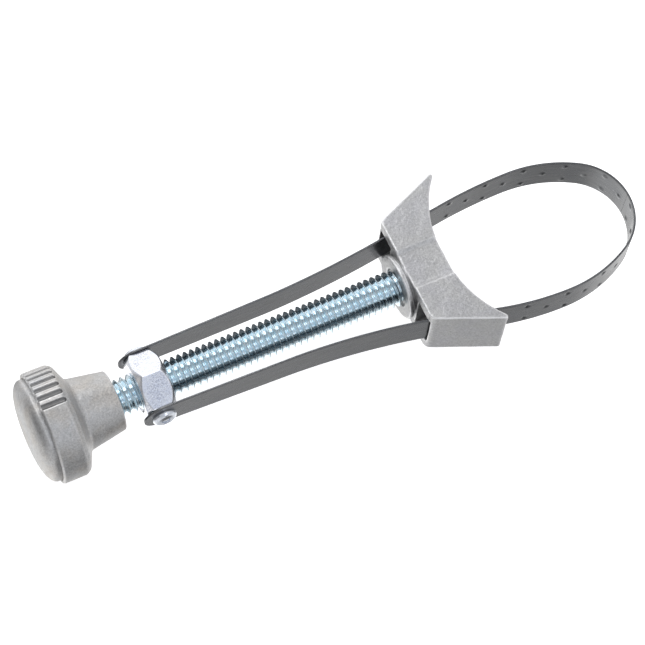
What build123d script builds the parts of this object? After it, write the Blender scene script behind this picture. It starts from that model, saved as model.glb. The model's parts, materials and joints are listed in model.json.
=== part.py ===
from build123d import *
import math
import os

# Screw-tightened steel-band oil filter wrench.
#
# Everything is first built about the spindle: X runs along the spindle axis from the knob
# towards the band loop, with x = 0 on the cradle's back plane, and Z is the loop's own axis.
# Each piece is then moved so that the origin is the centre of the loop's far arc.

# --- driving dimensions, mm ---------------------------------------------------
# spindle thread
PITCH = 2.5
CREST_R = 7.0
CORE_R = 5.6
CREST_FLAT = 0.35
ROOT_GAP = 0.14
THREAD_START_X = -117.2
THREAD_TURNS = 45
RIDGE_SINK = 0.15
THREAD_CLEARANCE = 0.2
JOURNAL_R = 5.25
NOSE_CHAMFER = 0.6
RUNNING_CLEARANCE = 0.05

# knob
HUB_END_X = -114.9
HUB_SMALL_R = 11.2
HUB_LARGE_R = 13.7
HUB_ROOT_X = -129.6
RIM_BACK_X = -132.4
RIM_FRONT_X = -143.3
RIM_R = 21.1
RIM_CHAMFER = 1.8
DOME_R = 19.4
DOME_FRONT_X = -149.2
DOME_FLAT_R = 6.0
DOME_MID_R = 15.0
DOME_SINK = 1.2
SHANK_END_X = -138.0
GROOVE_PITCH_DEG = 9.8
GROOVES_PER_GROUP = 8
GROOVE_GROUPS_DEG = (-32, 148)
GROOVE_R = 1.05
GROOVE_LIFT = 0.15

# nut and its screws
NUT_CENTRE_X = -101.2
NUT_LENGTH = 11.6
NUT_ACROSS_FLATS = 23.0
NUT_CHAMFER_X = 2.4
NUT_FACE_R = 10.9
SCREW_R = 2.5
SCREW_HEAD_R = 4.6
SCREW_HEAD_H = 2.7
SCREW_DEPTH = 4.0

# band
BAND_T = 0.8
BAND_W = 15.0
LEG_START_X = -95.0
LOOP_APEX_X = 91.9
LOOP_Y = -3.0
APEX_ARC_R = 21.7
APEX_ARC_DEG = 60.0
SHOULDER_ARC_R = 54.0
SHOULDER_ARC_DEG = 30.0
KNUCKLE_GAP = 0.1
APEX_GAP = 0.1
# hinge lines between the rigid lengths of each half, as distances from the loop's apex;
# one more lies where the band leaves the nut
HINGES = {"p": (122.0, 106.0, 93.0, 80.0, 56.0, 32.0, 16.0),
          "n": (167.0, 154.0, 115.0, 80.0, 56.0, 32.0, 16.0)}
# past the shoulder each side runs back to the nut in three bends and a straight:
# (length of the bend, heading at its far end in degrees away from the spindle)
LEG_BENDS = {"p": ((29.0, 8.5), (26.0, 8.5), (48.0, 2.0)),
             "n": ((29.0, 14.5), (28.0, 11.5), (48.0, 2.5))}
DIMPLE_SPHERE_R = 2.4
DIMPLE_H = 0.28
DIMPLE_EDGE_Z = 4.9
DIMPLE_PITCH = 8.0
DIMPLE_STATIONS = 10
STRAIGHT_BOW = 1e-4

# cradle
CRADLE_H = 25.5
BACK_HALF_Y = 21.5
TIP_X = 28.9
TIP_Y = 33.7
TIP_ROUND = 0.9
BACK_ROUND = 3.0
SADDLE_R = 52.0
SADDLE_FLAT_X = 16.1
SADDLE_FLAT_Y = 8.0
CAVITY_H = 16.2
CORE_HALF_Y = 11.9
WALL_INNER_BACK_Y = 20.5
WALL_INNER_SLOPE = 0.40
CHANNEL_HALF_Y = 8.4
CHANNEL_DEPTH = 0.9
CHANNEL_SLOPE = 1.9
BOSS_R = 12.5
BOSS_NECK_R = 11.4
BOSS_FACE_X = -2.8
BOSS_NECK_LENGTH = 0.9
BOSS_SINK_R = 7.4
BOSS_SINK_DEPTH = 1.1
NOSE_RECESS_R = 9.2
NOSE_RECESS_X = 11.4

# spindle retention on the saddle side
WASHER_R = 8.6
WASHER_T = 1.2
CIRCLIP_R = 7.4
CIRCLIP_T = 1.0
CIRCLIP_GROOVE_R = 4.6
NOSE_END_X = 15.4

# the frame's origin, seen from the spindle's own coordinates
ORIGIN = Vector(LOOP_APEX_X - APEX_ARC_R, LOOP_Y, 0)

ALONG_X = Rotation(0, 90, 0)


def save(shape, node):
    """Write one piece to its STEP file, moved into the part's frame."""
    placed = shape.moved(Location(ORIGIN * -1))
    placed.label = node
    export_step(placed, f"parts/{node}.step")


def disc(radius, x_from, x_to):
    """Cylinder about the spindle axis between two stations."""
    length = x_to - x_from
    turned = ALONG_X * Cylinder(radius, length, align=(Align.CENTER, Align.CENTER, Align.MIN))
    return Pos(x_from, 0, 0) * turned


def turned_profile(points_and_arcs):
    """Solid of revolution about the spindle axis from a closed half profile."""
    return revolve(make_face(points_and_arcs), Axis.X)


# --- thread -------------------------------------------------------------------
def thread_ridge(start_x, turns, grow):
    """Right-hand V ridge about the X axis, one surface set per turn.

    grow is added to every radius and flank, so a grown ridge cuts the matching
    internal thread.
    """
    inside = CORE_R - RIDGE_SINK
    widened = grow * 0.3
    half_crest = CREST_FLAT / 2 + widened
    half_root = PITCH / 2 - ROOT_GAP / 2 + widened
    corners = ((inside + grow, -half_root), (CREST_R + grow, -half_crest),
               (CREST_R + grow, half_crest), (inside + grow, half_root))
    faces = []
    for turn in range(turns):
        edges = [Edge.make_helix(PITCH, PITCH, radius).moved(Location((0, 0, along + turn * PITCH)))
                 for radius, along in corners]
        faces += [Face.make_surface_from_curves(edges[i], edges[(i + 1) % 4]) for i in range(4)]
        if turn == 0:
            first_cap = [edge @ 0 for edge in edges]
        last_cap = [edge @ 1 for edge in edges]
    caps = [Face(Wire.make_polygon(cap, close=True)) for cap in (first_cap, last_cap)]
    ridge = Solid(Shell(faces + caps))
    return ridge.moved(Location((start_x, 0, 0), (0, 90, 0)))


def spindle():
    """Threaded spindle with a plain shank in the knob and a journal through the boss."""
    shoulder_x = BOSS_FACE_X + BOSS_SINK_DEPTH - RUNNING_CLEARANCE
    body = disc(CORE_R, SHANK_END_X, shoulder_x)
    body += thread_ridge(THREAD_START_X + PITCH / 2, THREAD_TURNS, 0.0)
    body += disc(JOURNAL_R, shoulder_x, NOSE_END_X)
    body -= disc(JOURNAL_R + 1, *circlip_stations()) - disc(CIRCLIP_GROOVE_R, *circlip_stations())
    nose = body.edges().filter_by(GeomType.CIRCLE).sort_by(Axis.X)[-1]
    return chamfer(nose, NOSE_CHAMFER)


def circlip_stations():
    """Where the circlip sits: from the washer's outer face, one clip thickness on."""
    start = NOSE_RECESS_X + WASHER_T + 0.05
    return start, start + CIRCLIP_T


# --- knob ---------------------------------------------------------------------
def knob():
    """Die-cast knob: conical hub, stepped back, grooved rim and shallow domed front."""
    chamfer_x = RIM_BACK_X - RIM_CHAMFER
    chamfer_r = RIM_R - 1.1
    step_x = RIM_FRONT_X - DOME_SINK
    rise = step_x - DOME_FRONT_X
    with BuildLine() as half:
        Polyline((DOME_FRONT_X, 0), (HUB_END_X, 0), (HUB_END_X, HUB_SMALL_R - 0.7))
        Polyline((HUB_END_X, HUB_SMALL_R - 0.7), (HUB_END_X - 0.7, HUB_SMALL_R),
                 (HUB_ROOT_X + 1.0, HUB_LARGE_R))
        ThreePointArc((HUB_ROOT_X + 1.0, HUB_LARGE_R), (HUB_ROOT_X + 0.3, HUB_LARGE_R + 0.3),
                      (HUB_ROOT_X - 0.3, HUB_LARGE_R + 1.2))
        Polyline((HUB_ROOT_X - 0.3, HUB_LARGE_R + 1.2), (RIM_BACK_X, chamfer_r), (chamfer_x, RIM_R),
                 (RIM_FRONT_X + 0.9, RIM_R))
        ThreePointArc((RIM_FRONT_X + 0.9, RIM_R), (RIM_FRONT_X + 0.26, RIM_R - 0.26),
                      (RIM_FRONT_X, RIM_R - 0.9))
        Polyline((RIM_FRONT_X, RIM_R - 0.9), (RIM_FRONT_X, DOME_R - 0.3), (step_x, DOME_R))
        ThreePointArc((step_x, DOME_R), (step_x - 0.46 * rise, DOME_R - 1.5),
                      (step_x - 0.73 * rise, DOME_MID_R))
        ThreePointArc((step_x - 0.73 * rise, DOME_MID_R), (step_x - 0.89 * rise, DOME_MID_R - 3.4),
                      (DOME_FRONT_X, DOME_FLAT_R))
        Line((DOME_FRONT_X, DOME_FLAT_R), (DOME_FRONT_X, 0))
    body = Rot(150, 0, 0) * turned_profile(half.line)
    body -= disc(CREST_R + THREAD_CLEARANCE, THREAD_START_X - 0.5, HUB_END_X + 1)
    body -= disc(CORE_R, SHANK_END_X, HUB_END_X + 1)
    groove = grip_groove(RIM_BACK_X - 0.9, RIM_FRONT_X - 0.5)
    for group_deg in GROOVE_GROUPS_DEG:
        for index in range(GROOVES_PER_GROUP):
            turn = group_deg + (index - (GROOVES_PER_GROUP - 1) / 2) * GROOVE_PITCH_DEG
            body -= Rot(turn, 0, 0) * groove
    return body


def grip_groove(x_back, x_front):
    """Round-bottomed groove along the rim, open at the front, ball-ended at the back."""
    centre_r = RIM_R + GROOVE_LIFT
    bar = Pos(0, 0, centre_r) * disc(GROOVE_R, x_front, x_back - GROOVE_R)
    return bar + Pos(x_back - GROOVE_R, 0, centre_r) * Sphere(GROOVE_R)


# --- nut, tabs and screws -----------------------------------------------------
def nut():
    """Hexagonal travelling nut, flats on both sides, with a matching internal thread."""
    corner_r = NUT_ACROSS_FLATS / math.sqrt(3)
    low_x = NUT_CENTRE_X - NUT_LENGTH / 2
    hexagon = ALONG_X * extrude(RegularPolygon(corner_r, 6, rotation=0), NUT_LENGTH)
    body = Pos(low_x, 0, 0) * hexagon
    high_x = low_x + NUT_LENGTH
    with BuildLine() as turned:
        Polyline((low_x, 0), (low_x, NUT_FACE_R), (low_x + NUT_CHAMFER_X, corner_r + 0.01),
                 (high_x - NUT_CHAMFER_X, corner_r + 0.01), (high_x, NUT_FACE_R), (high_x, 0),
                 close=True)
    body = body & turned_profile(turned.line)
    body -= disc(CORE_R + THREAD_CLEARANCE + 0.05, low_x - 1, high_x + 1)
    turns_back = round((low_x - THREAD_START_X) / PITCH) - 2
    cut_start = THREAD_START_X + PITCH / 2 + turns_back * PITCH
    body -= thread_ridge(cut_start, round(NUT_LENGTH / PITCH) + 4, THREAD_CLEARANCE)
    for side in (1, -1):
        hole = Rot(90, 0, 0) * Cylinder(SCREW_R + RUNNING_CLEARANCE, 2 * SCREW_DEPTH)
        body -= Pos(NUT_CENTRE_X, side * NUT_ACROSS_FLATS / 2, 0) * hole
    return body


def screw(side):
    """Pan-head cross-recess screw holding a band tab to the nut; side is +1 or -1."""
    seat_y = NUT_ACROSS_FLATS / 2 + BAND_T
    tip_y = seat_y - BAND_T - SCREW_DEPTH + 0.1
    with BuildLine() as half:
        Polyline((0, seat_y + SCREW_HEAD_H), (0, tip_y), (SCREW_R - 0.5, tip_y),
                 (SCREW_R, tip_y + 0.5), (SCREW_R, seat_y), (SCREW_HEAD_R, seat_y),
                 (SCREW_HEAD_R, seat_y + 0.9))
        ThreePointArc((SCREW_HEAD_R, seat_y + 0.9), (SCREW_HEAD_R - 0.95, seat_y + 2.1),
                      (SCREW_HEAD_R - 2.6, seat_y + SCREW_HEAD_H - 0.08))
        Line((SCREW_HEAD_R - 2.6, seat_y + SCREW_HEAD_H - 0.08), (0, seat_y + SCREW_HEAD_H))
    body = revolve(make_face(half.line), Axis.Y)
    for turn in (35, 125):
        slot = Box(5.0, 2.6, 0.9)
        body -= Pos(0, seat_y + SCREW_HEAD_H, 0) * Rot(0, turn, 0) * slot
    body = Pos(NUT_CENTRE_X, 0, 0) * body
    return body if side > 0 else body.mirror(Plane.XZ)


def band_tab(side):
    """End of the band: a round-ended tab lying on the nut's flat under the screw head."""
    seat_y = NUT_ACROSS_FLATS / 2
    reach = LEG_START_X - NUT_CENTRE_X
    disc_end = Pos(NUT_CENTRE_X, 0) * Circle(BAND_W / 2)
    flat = disc_end & (Pos(NUT_CENTRE_X - BAND_W / 2, 0) * Rectangle(BAND_W, BAND_W))
    flat += Pos(NUT_CENTRE_X + reach / 2, 0) * Rectangle(reach, BAND_W)
    flat -= Pos(NUT_CENTRE_X, 0) * Circle(SCREW_R + RUNNING_CLEARANCE)
    tab = Pos(0, seat_y + BAND_T, 0) * Rot(90, 0, 0) * extrude(flat, BAND_T)
    tip = Pos(LEG_START_X, seat_y + BAND_T / 2, 0) * Cylinder(BAND_T / 2, BAND_W)
    tab += tip
    return tab if side > 0 else tab.mirror(Plane.XZ)


# --- band ---------------------------------------------------------------------
class Route:
    """Centre line of half the band, from the loop's apex back to the nut.

    y is counted away from the spindle, so both halves are drawn the same way up.
    """

    def __init__(self, key):
        self.side = 1 if key == "p" else -1
        self.start = Vector(LOOP_APEX_X, self.side * LOOP_Y)
        arcs = [(APEX_ARC_R * math.radians(APEX_ARC_DEG), APEX_ARC_DEG),
                (SHOULDER_ARC_R * math.radians(SHOULDER_ARC_DEG), SHOULDER_ARC_DEG)]
        heading = 0.0
        for length, far_heading in LEG_BENDS[key]:
            arcs.append((length, far_heading - heading))
            heading = far_heading
        self.arcs = arcs
        self.bent = sum(length for length, _ in arcs)
        self.nut_end = Vector(LEG_START_X, NUT_ACROSS_FLATS / 2 + BAND_T / 2)
        point, _ = self.at(self.bent)
        self.straight = (point - self.nut_end).length
        self.length = self.bent + self.straight
        self.hinges = (self.length,) + HINGES[key]

    def at(self, distance):
        """Point and heading (degrees, pointing towards the apex) at a distance from the apex."""
        point = self.start
        heading = -90.0
        left = distance
        for length, turn in self.arcs:
            step = min(left, length)
            part = turn * step / length
            half = math.radians(part / 2)
            chord = step if abs(half) < 1e-9 else step * math.sin(half) / half
            direction = math.radians(heading + part / 2)
            point = point - Vector(math.cos(direction), math.sin(direction)) * chord
            heading += part
            left -= step
            if left <= 0:
                return point, heading
        if left > 0:
            along = (self.nut_end - point).normalized()
            heading = math.degrees(math.atan2(-along.Y, -along.X))
            point = point + along * left
        return point, heading

    def stations(self, near, far):
        """Distances from near to far, with every place between where the bend changes."""
        ends = []
        reached = 0.0
        for length, _ in self.arcs:
            reached += length
            ends.append(reached)
        between = [end for end in ends if far + 0.01 < end < near - 0.01]
        return [near] + between[::-1] + [far]

    def edge_point(self, distance, offset):
        """Point beside the centre line, offset away from the spindle."""
        point, heading = self.at(distance)
        turn = math.radians(heading + 90)
        return point + Vector(math.cos(turn), math.sin(turn)) * offset


def bent_side(route, stations, offset):
    """One face of the band, seen edge on: an arc between each two stations.

    A stretch whose arc would rise less than STRAIGHT_BOW is a straight line.
    """
    for start, end in zip(stations, stations[1:]):
        first, middle, last = [route.edge_point(at, offset) for at in (start, (start + end) / 2, end)]
        chord = last - first
        bow = abs(chord.cross(middle - first).Z) / chord.length
        if bow < STRAIGHT_BOW:
            Line(first, last)
        else:
            ThreePointArc(first, middle, last)


def band_link(route, near, far):
    """One rigid length of band between two hinge lines, with the dimples that lie on it.

    near is its end towards the nut and far its end towards the apex, both as distances
    from the apex. The near end is hollowed round the previous length's rounded tip.
    """
    half = BAND_T / 2
    last = far <= 0
    end = APEX_GAP / 2 if last else far
    stations = route.stations(near, end)
    with BuildLine() as outline:
        bent_side(route, stations, half)
        outer_end, inner_end = route.edge_point(end, half), route.edge_point(end, -half)
        if last:
            Line(outer_end, inner_end)
        else:
            point, heading = route.at(end)
            ahead = Vector(math.cos(math.radians(heading)), math.sin(math.radians(heading)))
            ThreePointArc(outer_end, point + ahead * half, inner_end)
        bent_side(route, stations[::-1], -half)
        Line(route.edge_point(near, -half), route.edge_point(near, half))
    strip = make_face(outline.line)
    hinge, _ = route.at(near)
    strip -= Pos(hinge.X, hinge.Y) * Circle(half + KNUCKLE_GAP)
    link = extrude(strip, BAND_W / 2, both=True)
    for index in range(DIMPLE_STATIONS):
        distance = (index + 0.5) * DIMPLE_PITCH
        if far < distance < near:
            single = (index % 2 == 0) == (route.side > 0)
            for z in ((0,) if single else (-DIMPLE_EDGE_Z, DIMPLE_EDGE_Z)):
                link = with_dimple(link, route, distance, z)
    return link if route.side > 0 else link.mirror(Plane.XZ)


def with_dimple(link, route, distance, z):
    """Press a shallow round dimple in from the outer face.

    It stands out on the inner face, except round the far arc, whose dimples are rubbed
    flush so that the arc is a plain round seat.
    """
    lift = BAND_T / 2 + DIMPLE_H - DIMPLE_SPHERE_R
    inside = route.edge_point(distance, -lift)
    outside = route.edge_point(distance, lift + 2 * (DIMPLE_SPHERE_R - DIMPLE_H))
    if distance > APEX_ARC_R * math.radians(APEX_ARC_DEG):
        link += dimple_cap(inside, route.edge_point(distance, 0), z)
    return link - Pos(outside.X, outside.Y, z) * Sphere(DIMPLE_SPHERE_R)


def dimple_cap(centre, middle, z):
    """The part of the dimple's ball that lies between the band and the ball's inner pole."""
    ball = Pos(centre.X, centre.Y, z) * Sphere(DIMPLE_SPHERE_R)
    inward = (centre - middle).normalized() * -1
    reach = Vector(middle.X, middle.Y, z) + inward * DIMPLE_SPHERE_R
    turn = math.degrees(math.atan2(inward.Y, inward.X))
    keep = Pos(reach.X, reach.Y, z) * Rot(0, 0, turn) * Box(2 * DIMPLE_SPHERE_R, 5, 5)
    return ball & keep


# --- cradle -------------------------------------------------------------------
def cradle_outline():
    """Plan of the cradle: straight back, flared sides, tips, and a concave saddle."""
    centre_x = SADDLE_FLAT_X + math.sqrt(SADDLE_R**2 - SADDLE_FLAT_Y**2)

    def saddle_x(y):
        return centre_x - math.sqrt(SADDLE_R**2 - y**2)

    arc_y = (SADDLE_FLAT_Y + TIP_Y) / 2
    with BuildLine() as outline:
        Line((0, -BACK_HALF_Y), (0, BACK_HALF_Y))
        Line((0, BACK_HALF_Y), (TIP_X, TIP_Y))
        ThreePointArc((TIP_X, TIP_Y), (saddle_x(arc_y), arc_y), (SADDLE_FLAT_X, SADDLE_FLAT_Y))
        Line((SADDLE_FLAT_X, SADDLE_FLAT_Y), (SADDLE_FLAT_X, -SADDLE_FLAT_Y))
        ThreePointArc((SADDLE_FLAT_X, -SADDLE_FLAT_Y), (saddle_x(arc_y), -arc_y), (TIP_X, -TIP_Y))
        Line((TIP_X, -TIP_Y), (0, -BACK_HALF_Y))
    return make_face(outline.line)


def passage(side):
    """Space that one leg of the band runs through, open at the back and at the saddle."""
    far_x = TIP_X + 6
    wall_far_y = WALL_INNER_BACK_Y + WALL_INNER_SLOPE * far_x
    with BuildLine() as outline:
        Polyline((-1, CORE_HALF_Y), (far_x, CORE_HALF_Y), (far_x, wall_far_y),
                 (0, WALL_INNER_BACK_Y), (-1, WALL_INNER_BACK_Y), close=True)
    space = extrude(make_face(outline.line), CAVITY_H / 2, both=True)
    return space if side > 0 else space.mirror(Plane.XZ)


def face_channel(side):
    """Shallow slope-sided channel across the top or bottom face, in line with the spindle."""
    floor_z = CRADLE_H / 2 - CHANNEL_DEPTH
    with BuildLine() as outline:
        Polyline((-CHANNEL_HALF_Y, CRADLE_H / 2 + 0.1), (-CHANNEL_HALF_Y + CHANNEL_SLOPE, floor_z),
                 (CHANNEL_HALF_Y - CHANNEL_SLOPE, floor_z),
                 (CHANNEL_HALF_Y, CRADLE_H / 2 + 0.1), close=True)
    section = make_face(outline.line)
    cut = Pos(-5, 0, 0) * (Plane.YZ * extrude(section, 2 * SADDLE_FLAT_X))
    return cut if side > 0 else cut.mirror(Plane.XY)


def cradle():
    """Die-cast cradle: two plates, flared side walls, and a bored centre boss with a collar."""
    body = extrude(cradle_outline(), CRADLE_H / 2, both=True)
    upright = body.edges().filter_by(Axis.Z)
    body = fillet([e for e in upright if abs(e.center().X) < 0.1], BACK_ROUND)
    tips = [e for e in body.edges().filter_by(Axis.Z) if e.center().X > TIP_X - 0.1]
    body = fillet(tips, TIP_ROUND)
    for side in (1, -1):
        body -= passage(side)
        body -= face_channel(side)
    body += disc(BOSS_R, BOSS_FACE_X, -BOSS_NECK_LENGTH)
    body += disc(BOSS_NECK_R, -BOSS_NECK_LENGTH, 1.0)
    body -= disc(JOURNAL_R + RUNNING_CLEARANCE, BOSS_FACE_X - 1, SADDLE_FLAT_X + 1)
    body -= disc(BOSS_SINK_R, BOSS_FACE_X - 1, BOSS_FACE_X + BOSS_SINK_DEPTH)
    body -= disc(NOSE_RECESS_R, NOSE_RECESS_X, SADDLE_FLAT_X + 1)
    return body


def thrust_washer():
    """Flat washer in the saddle-side recess, against the boss."""
    stations = (NOSE_RECESS_X, NOSE_RECESS_X + WASHER_T)
    return disc(WASHER_R, *stations) - disc(JOURNAL_R + 0.1, *stations)


def circlip():
    """External retaining ring in the journal's groove, open over a short gap."""
    stations = circlip_stations()
    ring = disc(CIRCLIP_R, *stations) - disc(CIRCLIP_GROOVE_R, *stations)
    gap = Pos(stations[0] + CIRCLIP_T / 2, 0, -CIRCLIP_R) * Box(2 * CIRCLIP_T, 3.0, CIRCLIP_R)
    return ring - gap


# --- write every piece --------------------------------------------------------
os.makedirs("parts", exist_ok=True)

save(cradle(), "cradle")
save(thrust_washer(), "thrust_washer")
save(spindle(), "spindle")
save(circlip(), "circlip")
save(knob(), "knob")
save(nut(), "nut")
for key, side in (("p", 1), ("n", -1)):
    save(screw(side), f"screw_{key}")
    save(band_tab(side), f"band_tab_{key}")
    route = Route(key)
    ends = route.hinges + (0.0,)
    for index, (near, far) in enumerate(zip(ends, ends[1:]), start=1):
        save(band_link(route, near, far), f"band_{key}{index}")
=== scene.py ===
import json
import math

import bmesh
import bpy
import numpy as np
from mathutils import Matrix, Vector, noise


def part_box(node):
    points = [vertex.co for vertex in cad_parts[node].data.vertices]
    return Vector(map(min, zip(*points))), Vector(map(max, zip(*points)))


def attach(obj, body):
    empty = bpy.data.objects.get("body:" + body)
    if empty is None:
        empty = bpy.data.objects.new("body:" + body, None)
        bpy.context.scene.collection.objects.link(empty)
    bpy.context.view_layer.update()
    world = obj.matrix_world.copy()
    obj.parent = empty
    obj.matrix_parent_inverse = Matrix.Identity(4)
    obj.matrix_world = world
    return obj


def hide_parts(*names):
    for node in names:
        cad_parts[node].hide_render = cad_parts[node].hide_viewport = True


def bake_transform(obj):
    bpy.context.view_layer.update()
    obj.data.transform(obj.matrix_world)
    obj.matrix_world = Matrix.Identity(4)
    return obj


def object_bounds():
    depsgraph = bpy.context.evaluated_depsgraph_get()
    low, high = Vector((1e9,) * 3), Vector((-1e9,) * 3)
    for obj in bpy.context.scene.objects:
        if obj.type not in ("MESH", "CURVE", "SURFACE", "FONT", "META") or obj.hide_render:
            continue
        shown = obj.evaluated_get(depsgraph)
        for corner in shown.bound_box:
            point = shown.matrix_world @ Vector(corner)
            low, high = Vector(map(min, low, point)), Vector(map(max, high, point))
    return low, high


# Oil filter wrench: the finished look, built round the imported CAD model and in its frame.
# Lengths are in millimetres unless a name or comment says otherwise.
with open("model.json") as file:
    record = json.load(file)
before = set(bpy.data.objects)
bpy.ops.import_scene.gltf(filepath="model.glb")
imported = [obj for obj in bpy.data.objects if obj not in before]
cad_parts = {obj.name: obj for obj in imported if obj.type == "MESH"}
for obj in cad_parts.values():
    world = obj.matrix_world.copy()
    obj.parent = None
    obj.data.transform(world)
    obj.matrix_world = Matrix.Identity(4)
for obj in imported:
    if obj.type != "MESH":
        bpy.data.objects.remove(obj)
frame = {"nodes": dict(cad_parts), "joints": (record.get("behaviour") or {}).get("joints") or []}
cad_low, cad_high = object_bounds()

MM = 0.001
TAU = 2 * math.pi
joints = {joint["name"]: joint for joint in frame["joints"]}
axis_y = joints["spindle_turn"]["pos_m"][1] / MM


def box_mm(node):
    """Lowest and highest corner of a CAD node, in millimetres."""
    low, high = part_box(node)
    return low / MM, high / MM


# --- camera ---------------------------------------------------------------------
CAMERA_PLACE = (-0.3218, -0.3364, 0.8603)
CAMERA_RIGHT = Vector((0.9032, -0.4246, 0.0624))
CAMERA_UP = Vector((0.3626, 0.8327, 0.4184))
CAMERA_LENS_MM = 145.1
SENSOR_MM = 36.0
CAMERA_CLIP_M = 0.01


def make_camera():
    """Long-lens camera looking down on the wrench from the knob's side."""
    right = CAMERA_RIGHT.normalized()
    back = right.cross(CAMERA_UP).normalized()
    up = back.cross(right)
    data = bpy.data.cameras.new("camera")
    data.lens = CAMERA_LENS_MM
    data.sensor_width = SENSOR_MM
    data.clip_start = CAMERA_CLIP_M
    camera = bpy.data.objects.new("camera", data)
    bpy.context.scene.collection.objects.link(camera)
    turn = Matrix((right, up, back)).transposed().to_4x4()
    camera.matrix_world = Matrix.Translation(CAMERA_PLACE) @ turn
    bpy.context.scene.camera = camera


make_camera()


# --- mesh helpers ---------------------------------------------------------------
SMOOTH_ANGLE = math.radians(38)
MERGE_M = 2e-7


def make_object(name, points, faces, smooth_angle=SMOOTH_ANGLE):
    """Closed mesh from points in millimetres, merged, facing outwards, smooth but for its edges."""
    mesh = bpy.data.meshes.new(name)
    mesh.from_pydata((np.asarray(points, float).reshape(-1, 3) * MM).tolist(), [], faces)
    return finished_object(name, mesh, smooth_angle)


def finished_object(name, mesh, smooth_angle=SMOOTH_ANGLE):
    """Links a mesh as an object: doubled points merged, open ends closed, faces turned outwards."""
    work = bmesh.new()
    work.from_mesh(mesh)
    bmesh.ops.remove_doubles(work, verts=work.verts, dist=MERGE_M)
    bmesh.ops.dissolve_degenerate(work, edges=work.edges, dist=MERGE_M)
    bmesh.ops.holes_fill(work, edges=[edge for edge in work.edges if edge.is_boundary], sides=0)
    bmesh.ops.recalc_face_normals(work, faces=work.faces)
    work.to_mesh(mesh)
    work.free()
    mesh.polygons.foreach_set("use_smooth", [True] * len(mesh.polygons))
    mesh.set_sharp_from_angle(angle=smooth_angle)
    made = bpy.data.objects.new(name, mesh)
    bpy.context.scene.collection.objects.link(made)
    return made


def grid_faces(rows, columns, wrap_rows=False, wrap_columns=False, shift=0):
    """Quads over a sheet of points, which may close on itself either way.

    shift is how many rows the sheet has climbed where its columns close, as on a thread.
    """
    faces = []
    for row in range(rows if wrap_rows else rows - 1):
        above = (row + 1) % rows
        for column in range(columns if wrap_columns else columns - 1):
            right = (column + 1) % columns
            climb = shift if right == 0 and wrap_columns else 0
            if row + climb + 1 >= rows and climb:
                continue
            faces.append((row * columns + column, (row + climb) * columns + right,
                          (above + climb) * columns + right, above * columns + column))
    return faces


def lathe(name, profile, angles, radius_at=None):
    """Solid of revolution about the spindle axis, from (x, radius) pairs in millimetres.

    radius_at(x, radius, angle) may change the radius round the piece.
    """
    x, radius = np.array(profile, float).T
    turn = np.asarray(angles)
    along = np.repeat(x[:, None], len(turn), 1)
    out = np.repeat(radius[:, None], len(turn), 1)
    if radius_at:
        out = radius_at(along, out, turn[None, :])
    points = np.stack([along, axis_y + out * np.sin(turn), out * np.cos(turn)], -1)
    return make_object(name, points, grid_faces(len(x), len(turn), wrap_columns=True))


def rounded(corners, steps=5):
    """Points of an open line whose corners (x, y, cut) are rounded from cut before to cut after."""
    line = [corners[0][:2]]
    for before, corner, after in zip(corners, corners[1:], corners[2:]):
        here = np.array(corner[:2], float)
        cut = corner[2] if len(corner) > 2 else 0
        if cut == 0:
            line.append(tuple(here))
            continue
        back = np.array(before[:2], float) - here
        ahead = np.array(after[:2], float) - here
        first = here + back / np.linalg.norm(back) * cut
        last = here + ahead / np.linalg.norm(ahead) * cut
        for step in range(steps + 1):
            t = step / steps
            line.append(tuple(first * (1 - t)**2 + here * 2 * t * (1 - t) + last * t**2))
    line.append(corners[-1][:2])
    return line


def spaced(line, longest):
    """The same line with extra points wherever two are further apart than longest."""
    full = [line[0]]
    for start, end in zip(line, line[1:]):
        count = max(1, math.ceil(math.dist(start, end) / longest))
        for step in range(1, count + 1):
            full.append(tuple(a + (b - a) * step / count for a, b in zip(start, end)))
    return full


def roughen(piece, layers):
    """Moves each point along its normal by smooth noise; layers are (depth, grain) in millimetres."""
    mesh = piece.data
    moved = []
    for vertex in mesh.vertices:
        lift = sum(depth * noise.noise(vertex.co / (grain * MM)) for depth, grain in layers)
        moved.append(vertex.co + vertex.normal * (lift * MM))
    mesh.vertices.foreach_set("co", np.array(moved, np.float32).ravel())
    mesh.update()


def mark_edges(piece, painted_shade_offset=0.0):
    """Stores on each point how far its surface is from flat: above 0 on edges, below 0 in corners.

    The last argument is taken off, for points that lie deep in a groove, so that the material paints
    shade on them.
    """
    mesh = piece.data
    count = len(mesh.vertices)
    place = np.empty(count * 3)
    normal = np.empty(count * 3)
    ends = np.empty(len(mesh.edges) * 2, np.int32)
    mesh.vertices.foreach_get("co", place)
    mesh.vertices.foreach_get("normal", normal)
    mesh.edges.foreach_get("vertices", ends)
    place = place.reshape(-1, 3)
    first, second = ends.reshape(-1, 2).T
    reach = place[second] - place[first]
    reach /= np.maximum(np.linalg.norm(reach, axis=1), 1e-12)[:, None]
    total = np.zeros((count, 3))
    np.add.at(total, first, reach)
    np.add.at(total, second, -reach)
    meeting = np.maximum(np.bincount(ends, minlength=count), 1)
    slope = (total * normal.reshape(-1, 3)).sum(axis=1) / meeting
    bend = np.arccos(np.clip(slope, -1, 1)) / math.pi - 0.5
    around = bend.copy()
    np.add.at(around, first, bend[second])
    np.add.at(around, second, bend[first])
    stored = mesh.attributes.new("edge_bend", "FLOAT", "POINT")
    stored.data.foreach_set("value", (around / (meeting + 1) - painted_shade_offset).astype(np.float32))


# --- node helpers ---------------------------------------------------------------
def add_node(tree, kind, inputs=None, **settings):
    """New node with its settings, and inputs given as values or as another node's output."""
    made = tree.nodes.new(kind)
    for key, value in settings.items():
        setattr(made, key, value)
    for key, value in (inputs or {}).items():
        if isinstance(value, bpy.types.NodeSocket):
            tree.links.new(value, made.inputs[key])
        else:
            made.inputs[key].default_value = value
    return made


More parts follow.
